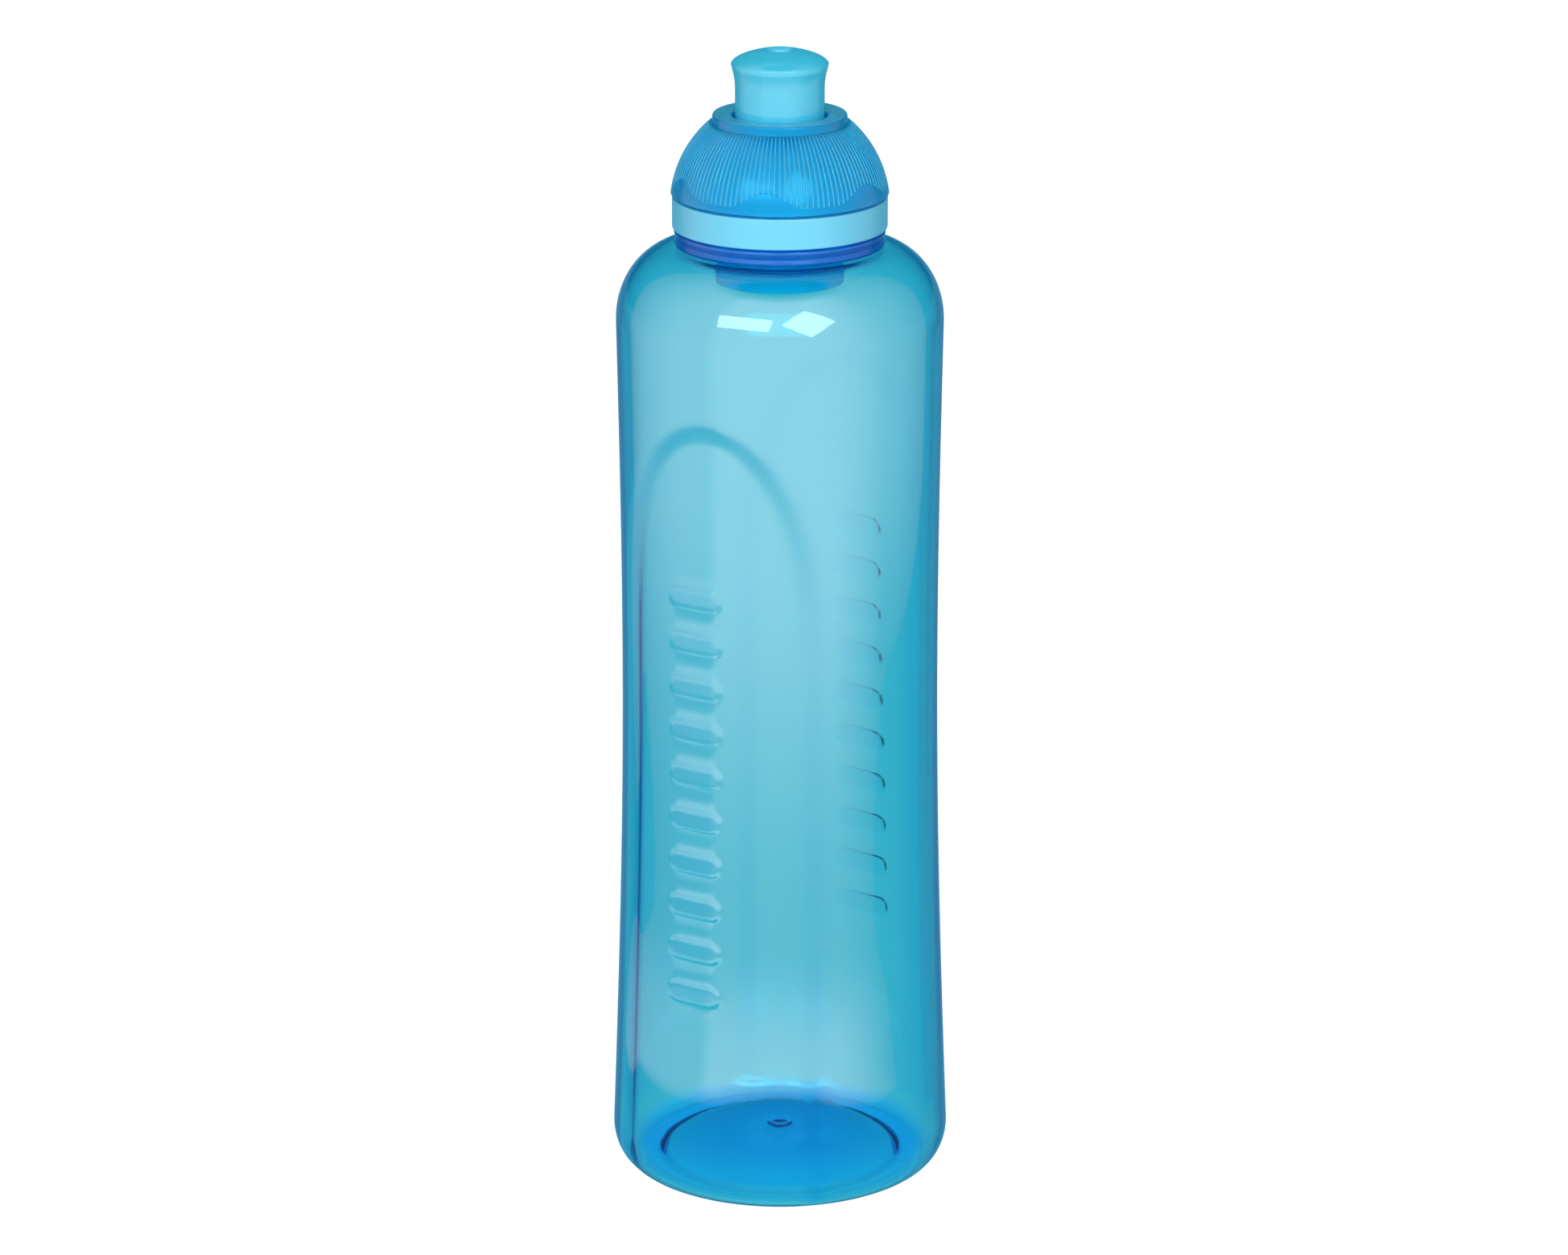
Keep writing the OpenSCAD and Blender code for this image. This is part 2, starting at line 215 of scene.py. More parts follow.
def ridge(z, az, start_z):
    """How far a point is up a helical ridge, 0 to 1. The ridge starts at the right and climbs
    anticlockwise."""
    rise = np.zeros_like(z)
    from_right = np.mod((az - 90.0) / 360.0 + 0 * z, 1.0)
    for lap in (0, 1):
        run = from_right + lap
        inside = run <= THREAD_TURNS
        centre = start_z + THREAD_LEAD * run
        fade = smooth(np.minimum(run, THREAD_TURNS - run) * 360.0 / THREAD_FADE)
        shape = smooth((THREAD_HALF - np.abs(z - centre)) / THREAD_FLANK)
        rise = np.maximum(rise, np.where(inside, shape * fade, 0))
    return rise


# ---------------------------------------------------------------- bottle body


def side_r(z):
    """Radius of the side wall: a straight taper with a shallow waist."""
    u = (z - CORNER_RISE) / (SHOULDER_Z - CORNER_RISE)
    return BASE_R + (SHOULDER_R - BASE_R) * u - WAIST_DIP * np.sin(np.pi * u)


def recess(az, z, grow):
    """How deep a panel is pressed in at a point, 0 to 1. `grow` widens both of its outlines, in degrees."""

    def level(half, crown, spring):
        up = np.clip(z - spring, 0, None) / (crown + 0.4 * grow - spring)
        return np.sqrt((off / (half + grow)) ** 2 + up**2)

    deep = np.zeros(np.broadcast(az, z).shape)
    for middle in (PANEL_AZ, PANEL_AZ + 180.0):
        off = np.mod(az - middle + 180.0, 360.0) - 180.0
        past = level(*PANEL_INNER) - 1.0
        short = 1.0 - level(*PANEL_OUTER)
        bevel = past / np.maximum(past + short, 1e-9)
        share = np.where(past <= 0, 0.0, np.where(short <= 0, 1.0, bevel))
        deep = np.maximum(deep, smooth(1.0 - share))
    return deep * smooth((z - 0.6) / 4.0)


def seam(az, z):
    """The faint parting line of the mould, half-way between the panels."""
    off = np.mod(az - PANEL_AZ - 90.0 + 90.0, 180.0) - 90.0
    line = np.exp(-((off / 0.55) ** 2))
    return line * smooth((z - 4.0) / 6.0) * smooth((SHOULDER_TOP - 2.0 - z) / 6.0)


def grip_bars(az, z):
    """Plain rounded grip bars on both panels, 0 to 1."""
    off = np.mod(az - BAR_AZ + 90.0, 180.0) - 90.0
    along = np.maximum(np.radians(np.abs(off)) * BAR_AT_R - (BAR_LENGTH / 2 - BAR_HALF), 0)
    nearest = np.clip(np.round((z - BAR_FIRST_Z) / BAR_PITCH), 0, BARS - 1)
    away = np.hypot(along, z - (BAR_FIRST_Z + BAR_PITCH * nearest))
    return smooth((BAR_HALF + BAR_EDGE / 2 - away) / BAR_EDGE)


def wall_streaks(az, z):
    """Slow unevenness of the blown wall's thickness, about -1 to 1."""
    a = np.radians(az)
    slow = 0.5 * np.sin(3 * a + 0.8) + 0.3 * np.sin(7 * a + 2.1 + z * 0.01)
    slow = slow + 0.3 * np.sin(13 * a + 4.0 - z * 0.014)
    return slow + 0.25 * np.sin(23 * a + 1.2 + 0.6 * np.sin(z * 0.03))


def base_z(r, rim, low, high):
    """Height of the pushed-up base, `high` in the middle and `low` at the rim."""
    return low + (high - low) * (1 - (r / rim) ** 3)


def bottle_radius(r, z, az):
    """Panels, grip bars, streaks, parting line and thread on the table of the body's radii: outside rows
    first, then inside rows."""
    outside = np.arange(r.shape[0])[:, None] < outside_rows
    on_side = (r > FOOT_R * 0.9) & (z < SHOULDER_Z + 1)
    pressed = np.where(outside, recess(az, z, 0.0), recess(az, z, BEVEL_GROW)) * PANEL_DEPTH
    r = r - np.where(on_side, pressed, 0)
    r = r + np.where(outside & on_side, BAR_RISE * grip_bars(az, z), 0)
    streaks = STREAK * wall_streaks(az, z) * smooth((z - 12.0) / 20.0)
    r = r + np.where(~outside & on_side, streaks, 0)
    r = r + np.where(outside & on_side, SEAM_RISE * seam(az, z), 0)
    on_neck = outside & (np.abs(r - NECK_R) < 0.01) & (z > SHOULDER_TOP + 1) & (z < LIP_Z - 0.8)
    return r + np.where(on_neck, THREAD_RISE * ridge(z, az, NECK_THREAD_Z), 0)


def side_heights(fine):
    """Heights of the wall's rows. The fine ones are closer at the panels' crowns and at the edges of the
    grip bars."""
    if not fine:
        parts = (9.5, 120, 3.4), (120, 176, 1.8), (176.5, 189, 3.0)
        return np.concatenate([np.arange(*part) for part in parts])
    steps = BAR_HALF + BAR_EDGE * np.array((-1.6, -0.5, -0.17, 0.17, 0.5))
    edges = np.concatenate([-steps[::-1], [0.0], steps])
    bars = [BAR_FIRST_Z + BAR_PITCH * k + edges for k in range(BARS)]
    last = BAR_FIRST_Z + BAR_PITCH * (BARS - 0.5)
    below = np.arange(9.5, BAR_FIRST_Z - BAR_PITCH / 2, 2.3)
    return np.concatenate([below, *bars, np.arange(last, 176, 1.25), np.arange(176.5, 189, 2.6)])


def body_azimuths():
    """Columns of the body: close at the grip bars, wider elsewhere."""
    reach = math.degrees(BAR_LENGTH / 2 / BAR_AT_R) + 1.5
    close = np.arange(-reach, reach, 0.62)
    half = np.concatenate([close, np.linspace(reach, 180.0 - reach, 78, endpoint=False)])
    return np.concatenate([half, half + 180.0]) + BAR_AZ


def body_outline():
    """Outside rows from the middle of the base up to the lip, then inside rows back down."""
    under = PUSH_UP - BASE_WALL / 2
    out = []
    for r in (0.8, 1.6, 2.2, 2.45, 2.7, 3.0):
        nub = 0.3 * float(smooth((NUB_R + 0.3 - r) / 0.9))
        out.append((r, base_z(r, FOOT_IN_R, 0, under) - nub, 0))
    out += [(r, base_z(r, FOOT_IN_R, 0, under), 0) for r in np.linspace(4, 25.6, 15)]
    out += [(FOOT_IN_R, 0, 0.5), (FOOT_R, 0, 0)]
    out += arc(FOOT_R, CORNER_RISE, BASE_R - FOOT_R, CORNER_RISE, -84, 0, 14)
    out += [(float(side_r(z)), float(z), 0) for z in side_heights(fine=True)]
    wide, tall = SHOULDER_R - SHOULDER_IN_R, SHOULDER_TOP - SHOULDER_Z
    out += arc(SHOULDER_IN_R, SHOULDER_Z, wide, tall, 0, 90, 20)
    out += [(NECK_R, SHOULDER_TOP, 0.6)]
    out += [(NECK_R, float(z), 0) for z in np.arange(207.4, 217.2, 0.4)]
    out += [(NECK_R, LIP_Z, 0.3), (NECK_BORE_R, LIP_Z, 0.3)]
    inside = [(NECK_BORE_R, SHOULDER_TOP - WALL, 0.8)]
    inside += arc(SHOULDER_IN_R, SHOULDER_Z, wide - WALL, tall - WALL, 90, 0, 18)
    inside += [(float(side_r(z)) - WALL, float(z), 0) for z in side_heights(fine=False)[::-1]]
    inside += arc(FOOT_R, CORNER_RISE, BASE_R - WALL - FOOT_R, CORNER_RISE - WALL / 2, 0, -78, 10)
    inside += [(HEEL_R - 0.6, BASE_WALL + 0.15, 0.8), (BASE_IN_R, BASE_WALL, 1.6)]
    top = BASE_WALL + PUSH_UP
    inside += [(r, base_z(r, BASE_IN_R, BASE_WALL, top), 0) for r in np.linspace(23.8, 4, 15)]
    for r in (3.0, 2.6, 2.2, 1.6, 0.8):
        nub = 0.25 * float(smooth((NUB_R + 0.3 - r) / 1.4))
        inside.append((r, base_z(r, BASE_IN_R, BASE_WALL, top) + nub, 0))
    first = soften(out, closed=False)
    second = soften([(NECK_BORE_R, LIP_Z - 1, 0)] + inside, closed=False)
    return first, second


outside_part, inside_part = body_outline()
outside_rows = len(outside_part)
body_section = np.vstack([outside_part, inside_part])
bottle = turned(
    "bottle_shell",
    body_section,
    body_azimuths(),
    pole=(float(outside_part[0][1]), float(inside_part[-1][1])),
    radius=bottle_radius,
)
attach(bottle, "bottle")
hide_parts("bottle_body")


# ---------------------------------------------------------------- screw cap, cover ring


def cap_radius(r, z, az):
    """The inner thread on the table of the cap's radii."""
    on_wall = (np.abs(r - CAP_THREAD_R) < 0.01) & (z > 206.5) & (z < 216)
    return r - np.where(on_wall, THREAD_RISE * ridge(z, az, CAP_THREAD_Z), 0)


# the rim has two faces that lean outwards as they rise, each with a tight rounded edge above it
cap_path = [
    (CAP_THREAD_R, RIM_FOOT, 0.1),
    (21.7, RIM_FOOT, 0.15),
    (22.1, RIM_FOOT + 0.15, 0.15),
    (22.36, 207.05, 0.32),
    (22.02, 207.42, 0.12),
    (22.0, 207.62, 0.12),
    (22.38, 209.15, 0.32),
    (21.95, 209.62, 0.2),
    (21.7, RIM_TOP, 0.1),
    (SKIRT_R, RIM_TOP, 0.1),
    (SKIRT_R, SKIRT_TOP, 0.2),
    (DECK_R, SKIRT_TOP, 0.1),
    (DECK_R, DECK_TOP, 0.1),
    (MOAT_R, DECK_TOP, 0.2),
    (MOAT_R, MOAT_FLOOR, 0.4),
    (WELL_BORE_R, MOAT_FLOOR, 0.15),
    (WELL_BORE_R, WELL_FOOT, 0.2),
    (WELL_R, WELL_FOOT, 0.5),
    (WELL_R, MOAT_UNDER, 0.4),
    (MOAT_WALL_R - 1.0, MOAT_UNDER, 0.3),
    (MOAT_WALL_R, MOAT_UNDER + 1.0, 0.3),
    (MOAT_WALL_R, DECK_UNDER, 0.2),
    (CAP_THREAD_R, DECK_UNDER, 0.3),
]
cap_path += [(CAP_THREAD_R, float(z), 0) for z in np.arange(215.8, 206.5, -0.4)]
cap = turned("cap_shell", soften(cap_path), azimuths(240), radius=cap_radius)
cap_points = np.empty(3 * len(cap.data.vertices))
cap.data.vertices.foreach_get("co", cap_points)
cap_points = cap_points.reshape(-1, 3) / MM
on_rim = np.hypot(cap_points[:, 0], cap_points[:, 1]) > CAP_THREAD_R + 0.5
on_rim &= cap_points[:, 2] < RIM_TOP + 0.1
cap.data.attributes.new("deep", "FLOAT", "POINT").data.foreach_set("value", on_rim.astype(float))
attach(cap, "cap")
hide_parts("screw_cap")

cover_path = [
    (RING_IN_R, RING_FOOT, 0.1),
    (RING_R, RING_FOOT, 0.3),
    (RING_R, RING_TOP, 0.35),
    (RING_LEDGE_R, RING_TOP, 0.3),
    (RING_LEDGE_R, 219.0, 0.15),
    (RING_LEDGE_R + 0.55, 219.0, 0.15),
    (RING_LEDGE_R + 0.55, 220.0, 0.3),
    (19.75, RING_DECK_TOP, 0.3),
    (14.65, RING_DECK_TOP, 0.3),
    (14.65, RING_DECK_UNDER, 0.1),
    (19.55, RING_DECK_UNDER, 0.1),
    (19.55, RING_IN_TOP, 0.1),
    (RING_IN_R, RING_IN_TOP, 0.1),
]
cover = turned("cover_band", soften(cover_path), azimuths(240))
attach(cover, "cap")
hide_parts("cover_ring")


# ---------------------------------------------------------------- twist dome


def wave_z(az):
    """Height of the scalloped line where the ribs end: six smooth lobes round the dome."""
    off = np.mod(az - LOBE_AZ + LOBE_PITCH / 2, LOBE_PITCH) - LOBE_PITCH / 2
    return LOBE_LOW + LOBE_RISE * np.cos(np.pi * np.clip(off / 40.0, -0.5, 0.5)) ** 1.6


def dome_r(z):
    """Radius of the dome's outside."""
    up = np.clip((z - DOME_Z) / DOME_B, -1, 1)
    return DOME_A * np.sqrt(1 - up**2)


def cam_z(az):
    """Middle height of the cam slot, and what carries it back down between the two slots."""
    run = np.mod(az - CAM_START, 180.0)
    back = 180.0 - CAM_SPAN
    share = np.where(run <= CAM_SPAN, run / CAM_SPAN, 1 - (run - CAM_SPAN) / back)
    return CAM_LOW + CAM_RISE * share


def dome_azimuths():
    """Six columns to a rib: its foot, flank and crest, and the middle of the ground between two ribs."""
    crests = np.arange(RIBS) * 360.0 / RIBS - 180.0
    places = np.array((-RIB_HALF, -0.55 * RIB_HALF, 0.0, 0.55 * RIB_HALF, RIB_HALF, 180.0 / RIBS))
    return (crests[:, None] + places[None, :]).ravel()


def build_dome():
    """The shell, its collar and the cam sleeve inside as one closed loop of rows, with the two cam slots cut
    through the sleeve. The points carry `crest`, a painted highlight on the ribs' crests and the collar's top."""
    az = dome_azimuths()
    columns = len(az)
    rows_r, rows_z = [], []

    def row(r, z):
        rows_r.append(np.broadcast_to(np.asarray(r, float), az.shape).copy())
        rows_z.append(np.broadcast_to(np.asarray(z, float), az.shape).copy())

    line = wave_z(az)
    rib = np.tile((0.0, 0.72, 1.0, 0.72, 0.0, 0.0), RIBS)
    rim_start = DOME_FOOT + 0.35
    # smooth rim, from its foot up to the scalloped line
    rim_r = float(dome_r(rim_start))
    row(DOME_FOOT_IN_R, DOME_FOOT)
    row(rim_r - 0.45, DOME_FOOT)
    row(rim_r - 0.2, DOME_FOOT + 0.05)
    row(rim_r - 0.04, DOME_FOOT + 0.18)
    for s in (0.0, 0.2, 0.4, 0.6, 0.8, 0.93, 1.0):
        z = rim_start + (line - rim_start) * s
        row(dome_r(z), z)
    # ribs: the grooves drop in behind the line and run up to the collar's foot
    first_rib_row = len(rows_r)
    for s, share in ((0.10, 0.3), (0.22, 0.8), (RIB_LEAD, 1.0)):
        z = line + s
        row(dome_r(z) - RIB_RISE * share * (1.0 - rib), z)
    for s in np.linspace(0.0, 1.0, 21)[1:]:
        z = line + RIB_LEAD + (COLLAR_FOOT - line - RIB_LEAD) * s
        row(dome_r(z) - RIB_RISE * (1.0 - rib), z)
    last_rib_row = len(rows_r)
    # ledge, collar, bore
    collar = soften(
        [
            (COLLAR_R + 0.35, COLLAR_FOOT, 0),
            (COLLAR_R, COLLAR_FOOT, 0.2),
            (COLLAR_R, COLLAR_TOP, 0.9),
            (COLLAR_R - 1.2, COLLAR_TOP, 0.3),
            (COLLAR_BORE_R, COLLAR_TOP - COLLAR_DISH, 0.3),
            (COLLAR_BORE_R, COLLAR_UNDER, 0.2),
            (GUIDE_R, COLLAR_UNDER, 0.1),
            (GUIDE_R, SLEEVE_HEAD, 0.2),
            (SLEEVE_IN_R, SLEEVE_HEAD, 0.2),
            (SLEEVE_IN_R, SLEEVE_HEAD - 1.0, 0),
        ],
        closed=False,
        steps=4,
    )
    for r, z in collar[:-1]:
        row(r, z)
    middle = cam_z(az)
    inner_top = len(rows_r)
    row(SLEEVE_IN_R, middle + CAM_HALF)
    row(SLEEVE_IN_R, middle - CAM_HALF)
    for r, z in soften(
        [
            (SLEEVE_IN_R, SLEEVE_FOOT + 1.0, 0),
            (SLEEVE_IN_R, SLEEVE_FOOT, 0.2),
            (SLEEVE_R, SLEEVE_FOOT, 0.2),
            (SLEEVE_R, SLEEVE_FOOT + 1.0, 0),
        ],
        closed=False,
        steps=3,
    ):
        row(r, z)
    outer_low = len(rows_r)
    row(SLEEVE_R, middle - CAM_HALF)
    row(SLEEVE_R, middle + CAM_HALF)
    # up the sleeve's outside, over to the shell's inside and down to the snap bead
    in_a, in_b = DOME_A - DOME_WALL, DOME_B - DOME_WALL
    head = math.degrees(math.acos(SLEEVE_R / in_a))
    foot = math.degrees(math.asin((DOME_SHELL_FOOT - DOME_Z) / in_b))
    head_z = DOME_Z + in_b * math.sin(math.radians(head))
    row(SLEEVE_R, head_z - 1.2)
    row(SLEEVE_R, head_z - 0.5)
    row(SLEEVE_R + 0.12, head_z - 0.1)
    for t in np.linspace(head - 2.5, foot, 12):
        row(in_a * math.cos(math.radians(t)), DOME_Z + in_b * math.sin(math.radians(t)))
    for r, z in soften(
        [
            (21.3, 219.4, 0),
            (21.3, 218.9, 0.5),
            (20.5, 218.0, 0.5),
            (20.5, DOME_FOOT + 0.4, 0.15),
            (20.8, DOME_FOOT + 0.1, 0),
        ],
        closed=False,
        steps=3,
    ):
        row(r, z)
    r, z = np.array(rows_r), np.array(rows_z)
    rows = len(r)
    run = np.mod(az - CAM_START + 1e-6, 180.0)
    open_column = run < CAM_SPAN - 1e-3
    dropped = np.zeros((rows, columns), bool)
    dropped[inner_top] = open_column
    dropped[outer_low] = open_column
    faces = [tuple(q) for q in turned_faces(rows, columns, True, dropped)]

    def at(k, j):
        return k * columns + j % columns

    # the slots' upper and lower sides, then their two ends
    inner_low, outer_top = inner_top + 1, outer_low + 1
    for j in np.nonzero(open_column)[0]:
        k = j + 1
        faces.append((at(inner_top, j), at(inner_top, k), at(outer_top, k), at(outer_top, j)))
        faces.append((at(outer_low, j), at(outer_low, k), at(inner_low, k), at(inner_low, j)))
        if not open_column[j - 1]:
            faces.append((at(inner_top, j), at(outer_top, j), at(outer_low, j), at(inner_low, j)))
        if not open_column[k % columns]:
            faces.append((at(inner_top, k), at(inner_low, k), at(outer_low, k), at(outer_top, k)))
    piece = add_piece("dome_shell", turned_points(r, z, az), faces, sharp=50)
    # painted highlight: the ribs' crests get a paler colour in the dome's material that stands in for light
    # glinting on them
    crest = np.zeros((rows, columns))
    crest[first_rib_row:last_rib_row] = rib
    # painted reflection: the collar's top gets the same paler colour, standing in for the bright studio mirrored
    # there
    collar_top = (r > COLLAR_BORE_R - 0.1) & (r < COLLAR_R - 0.3) & (z > COLLAR_TOP - 0.4)
    crest[collar_top] = 0.9
    piece.data.attributes.new("crest", "FLOAT", "POINT").data.foreach_set("value", crest.ravel())
    return piece


dome = build_dome()
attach(dome, "dome")
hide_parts("twist_dome")


# ---------------------------------------------------------------- spout


def lug(turn):
    """Points and faces of one cam lug: a pin with a rounded end that points outwards."""
    section = [(0.9, LUG_TIP), (1.5, 13.93), (1.85, 13.7), (2.0, 13.35), (2.0, LUG_ROOT)]
    count = 40
    a = math.radians(turn)
    out, side = np.array((math.sin(a), -math.cos(a), 0)), np.array((math.cos(a), math.sin(a), 0))
    up = np.array((0, 0, 1.0))
    verts, faces = [out * LUG_TIP + up * LUG_Z], []
    for radius, reach in section:
        for k in range(count):
            t = 2 * math.pi * k / count
            lift, aside = radius * math.sin(t), radius * math.cos(t)
            verts.append(out * reach + up * (LUG_Z + lift) + side * aside)
    for k in range(count):
        n = (k + 1) % count
        faces.append((0, 1 + k, 1 + n))
        for ring in range(len(section) - 1):
            low, high = 1 + ring * count, 1 + (ring + 1) * count
            faces.append((low + k, high + k, high + n, low + n))
    verts.append(out * LUG_ROOT + up * LUG_Z)
    last = len(verts) - 1
    low = 1 + (len(section) - 1) * count
    for k in range(count):
        faces.append((low + k, last, low + (k + 1) % count))
    return np.array(verts), faces


def build_spout():
    """The flared spout with its o-ring groove and flow channel, and the two lugs sunk into its wall."""
    path = [
        (SPOUT_BORE_R, SPOUT_FOOT, 0.2),
        (SPOUT_R, SPOUT_FOOT, 0.3),
        (SPOUT_R, SPOUT_FOOT + 0.9, 0.1),
        (GROOVE_R, SPOUT_FOOT + 0.9, 0.1),
        (GROOVE_R, SPOUT_FOOT + 2.9, 0.1),
        (SPOUT_R, SPOUT_FOOT + 2.9, 0.1),
        (SPOUT_R, SPOUT_SHOULDER, 0.2),
        (BARREL_R, SPOUT_SHOULDER + 0.8, 0.3),
        (BARREL_R, FLARE_START - 1.5, 0),
    ]
    for u in np.linspace(0.0, 0.86, 8):
        r = BARREL_R + (FLARE_R - BARREL_R) * u * u
        path.append((r, FLARE_START + (FLARE_Z - FLARE_START) * u, 0))
    # the crown is one smooth curve from the flare's edge to the outlet
    shoulder, crown = np.array((FLARE_R, FLARE_Z + 0.3)), np.array((OUTLET_R + 1.2, TIP_Z - 0.02))
    pull_low, pull_high = np.array((9.74, 246.0)), np.array((6.0, 247.0))
    for t in np.linspace(0.0, 1.0, 19):
        low = (1 - t) ** 3 * shoulder + 3 * t * (1 - t) ** 2 * pull_low
        r, z = low + 3 * t * t * (1 - t) * pull_high + t**3 * crown
        path.append((float(r), float(z), 0))
    path += [
        (OUTLET_R + 0.8, TIP_Z, 0.4),
        (OUTLET_R, TIP_Z - 0.75, 0.5),
        (OUTLET_R, OUTLET_UNDER, 0.2),
        (SPOUT_BORE_R - 1.5, OUTLET_UNDER, 0.5),
        (SPOUT_BORE_R, OUTLET_UNDER - 1.5, 0.5),
    ]
    section = soften(path)
    columns = 192
    r = np.repeat(section[:, :1], columns, 1)
    z = np.repeat(section[:, 1:2], columns, 1)
    verts = turned_points(r, z, azimuths(columns))
    faces = outward(verts, [tuple(q) for q in turned_faces(len(section), columns)])
    for turn in (LUG_AZ, LUG_AZ + 180.0):
        more, sides = lug(turn)
        faces += [tuple(i + len(verts) for i in f) for f in outward(more, sides)]
        verts = np.vstack([verts, more])
    return add_piece("spout_shell", verts, faces, sharp=50)


spout = build_spout()
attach(spout, "nozzle")
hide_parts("spout")


# ---------------------------------------------------------------- materials


class Nodes:
    """A material's node tree with short calls for the nodes used here."""

    def __init__(self, name):
        self.material = bpy.data.materials.new(name)
        self.material.use_nodes = True
        self.tree = self.material.node_tree
        self.shader = next(n for n in self.tree.nodes if n.type == "BSDF_PRINCIPLED")
        self.output = next(n for n in self.tree.nodes if n.type == "OUTPUT_MATERIAL")
        coordinates = self.tree.nodes.new("ShaderNodeTexCoord")
        self.place = coordinates.outputs["Object"]

    def noise(self, scale, detail=3.0, stretch=(1, 1, 1)):
        """Noise with `scale` features a metre."""
        mapping = self.tree.nodes.new("ShaderNodeMapping")
        mapping.inputs["Scale"].default_value = stretch
        self.tree.links.new(self.place, mapping.inputs["Vector"])
        noise = self.tree.nodes.new("ShaderNodeTexNoise")
        noise.inputs["Scale"].default_value = scale
        noise.inputs["Detail"].default_value = detail
        self.tree.links.new(mapping.outputs["Vector"], noise.inputs["Vector"])
        return noise.outputs["Fac"]

    def span(self, value, low, high):
        """A noise's value spread over `low` to `high`."""
        ramp = self.tree.nodes.new("ShaderNodeMapRange")
        ramp.inputs["From Min"].default_value = 0.3
        ramp.inputs["From Max"].default_value = 0.7
        ramp.inputs["To Min"].default_value = low
        ramp.inputs["To Max"].default_value = high
        self.tree.links.new(value, ramp.inputs["Value"])
        return ramp.outputs["Result"]

    def blend(self, value, first, second):
        """A colour between two, by a value from 0 to 1."""
        mix = self.tree.nodes.new("ShaderNodeMix")
        mix.data_type = "RGBA"
        self.tree.links.new(value, mix.inputs["Factor"])
        mix.inputs["A"].default_value = (*first, 1)
        mix.inputs["B"].default_value = (*second, 1)
        return mix.outputs["Result"]

    def bump(self, value, height_mm, below=None):
        """A bumped normal, over the bump `below` if there is one."""
        bump = self.tree.nodes.new("ShaderNodeBump")
        bump.inputs["Strength"].default_value = 1.0
        bump.inputs["Distance"].default_value = height_mm * MM
        self.tree.links.new(value, bump.inputs["Height"])
        if below is not None:
            self.tree.links.new(below, bump.inputs["Normal"])
        return bump.outputs["Normal"]

    def set(self, name, value):
        """Put a value or a node's output on one of the shader's sockets."""
        if isinstance(value, bpy.types.NodeSocket):
            self.tree.links.new(value, self.shader.inputs[name])
        else:
            self.shader.inputs[name].default_value = value

    def absorb(self, colour, density):
        """Dye inside the plastic."""
        volume = self.tree.nodes.new("ShaderNodeVolumeAbsorption")
        volume.inputs["Color"].default_value = (*colour, 1)
        volume.inputs["Density"].default_value = density
        self.tree.links.new(volume.outputs["Volume"], self.output.inputs["Volume"])


def clear_plastic(name, colour, density):
    """Tinted see-through plastic: the dye is in the volume, so thick and slanting walls come out deeper."""
    n = Nodes(name)
    cloud = n.noise(60.0, 2.0, (1, 1, 0.3))
    n.set("Base Color", n.blend(cloud, (0.965, 0.985, 0.945), (1.0, 1.0, 0.965)))
    n.set("Transmission Weight", 1.0)
    n.set("IOR", 1.47)
    n.set("Roughness", n.span(n.noise(220.0, 4.0), 0.0245, 0.049))
    slow = n.bump(n.noise(45.0, 2.0, (1, 1, 0.35)), 0.02)
    n.set("Normal", n.bump(n.noise(900.0, 3.0), 0.002, below=slow))
    n.absorb(colour, density)
    return n.material


def cap_plastic(name, pale, deep, colour, density):
    """Dyed plastic that scatters some light, deeper in the solid rim than in the thin walls."""
    n = Nodes(name)
    mark = n.tree.nodes.new("ShaderNodeAttribute")
    mark.attribute_name = "deep"
    n.set("Base Color", n.blend(mark.outputs["Fac"], pale, deep))
    n.set("Transmission Weight", 0.55)
    n.set("IOR", 1.5)
    n.set("Specular Tint", (0.2, 0.42, 0.7, 1.0))
    n.set("Roughness", n.span(n.noise(220.0, 4.0), 0.015, 0.03))
    n.set("Normal", n.bump(n.noise(900.0, 3.0), 0.004))
    n.absorb(colour, density)
    return n.material


def dome_plastic(name, ground, crest, colour, density):
    """Dyed plastic that scatters a little light, with ribs whose crests are glossier than the ground between them
    and painted paler, a painted highlight for light glinting on them and on the collar's top."""
    n = Nodes(name)
    # painted highlight: the `crest` mark, made a little uneven, blends the base colour from the ground's blue
    # towards a paler one
    mark = n.tree.nodes.new("ShaderNodeAttribute")
    mark.attribute_name = "crest"
    pale = n.tree.nodes.new("ShaderNodeMath")
    pale.operation = "MULTIPLY"
    n.tree.links.new(mark.outputs["Fac"], pale.inputs[0])
    n.tree.links.new(n.span(n.noise(160.0, 3.0), 0.75, 1.0), pale.inputs[1])
    n.set("Base Color", n.blend(pale.outputs[0], ground, crest))
    n.set("Transmission Weight", 0.62)
    n.set("IOR", 1.5)
    n.set("Specular Tint", (0.06, 0.48, 0.65, 1.0))
    rough = n.tree.nodes.new("ShaderNodeMapRange")
    rough.inputs["To Min"].default_value = 0.12
    rough.inputs["To Max"].default_value = 0.08
    n.tree.links.new(pale.outputs[0], rough.inputs["Value"])
    n.set("Roughness", rough.outputs["Result"])
    n.set("Normal", n.bump(n.noise(900.0, 3.0), 0.004))
    n.absorb(colour, density)
    return n.material


def solid_plastic(name, low, high, rough, gloss=0.5):
    """Opaque moulded plastic: slight clouding in its colour, a fine mould grain and uneven gloss."""
    n = Nodes(name)
    n.set("Base Color", n.blend(n.span(n.noise(70.0, 4.0), 0, 1), low, high))
    n.set("IOR", 1.5)
    n.set("Specular IOR Level", gloss)
    n.set("Roughness", n.span(n.noise(900.0, 4.0), rough * 0.9, rough * 1.15))
    slow = n.bump(n.noise(80.0, 2.0), 0.012)
    n.set("Normal", n.bump(n.noise(1500.0, 4.0), 0.004, below=slow))
    return n.material


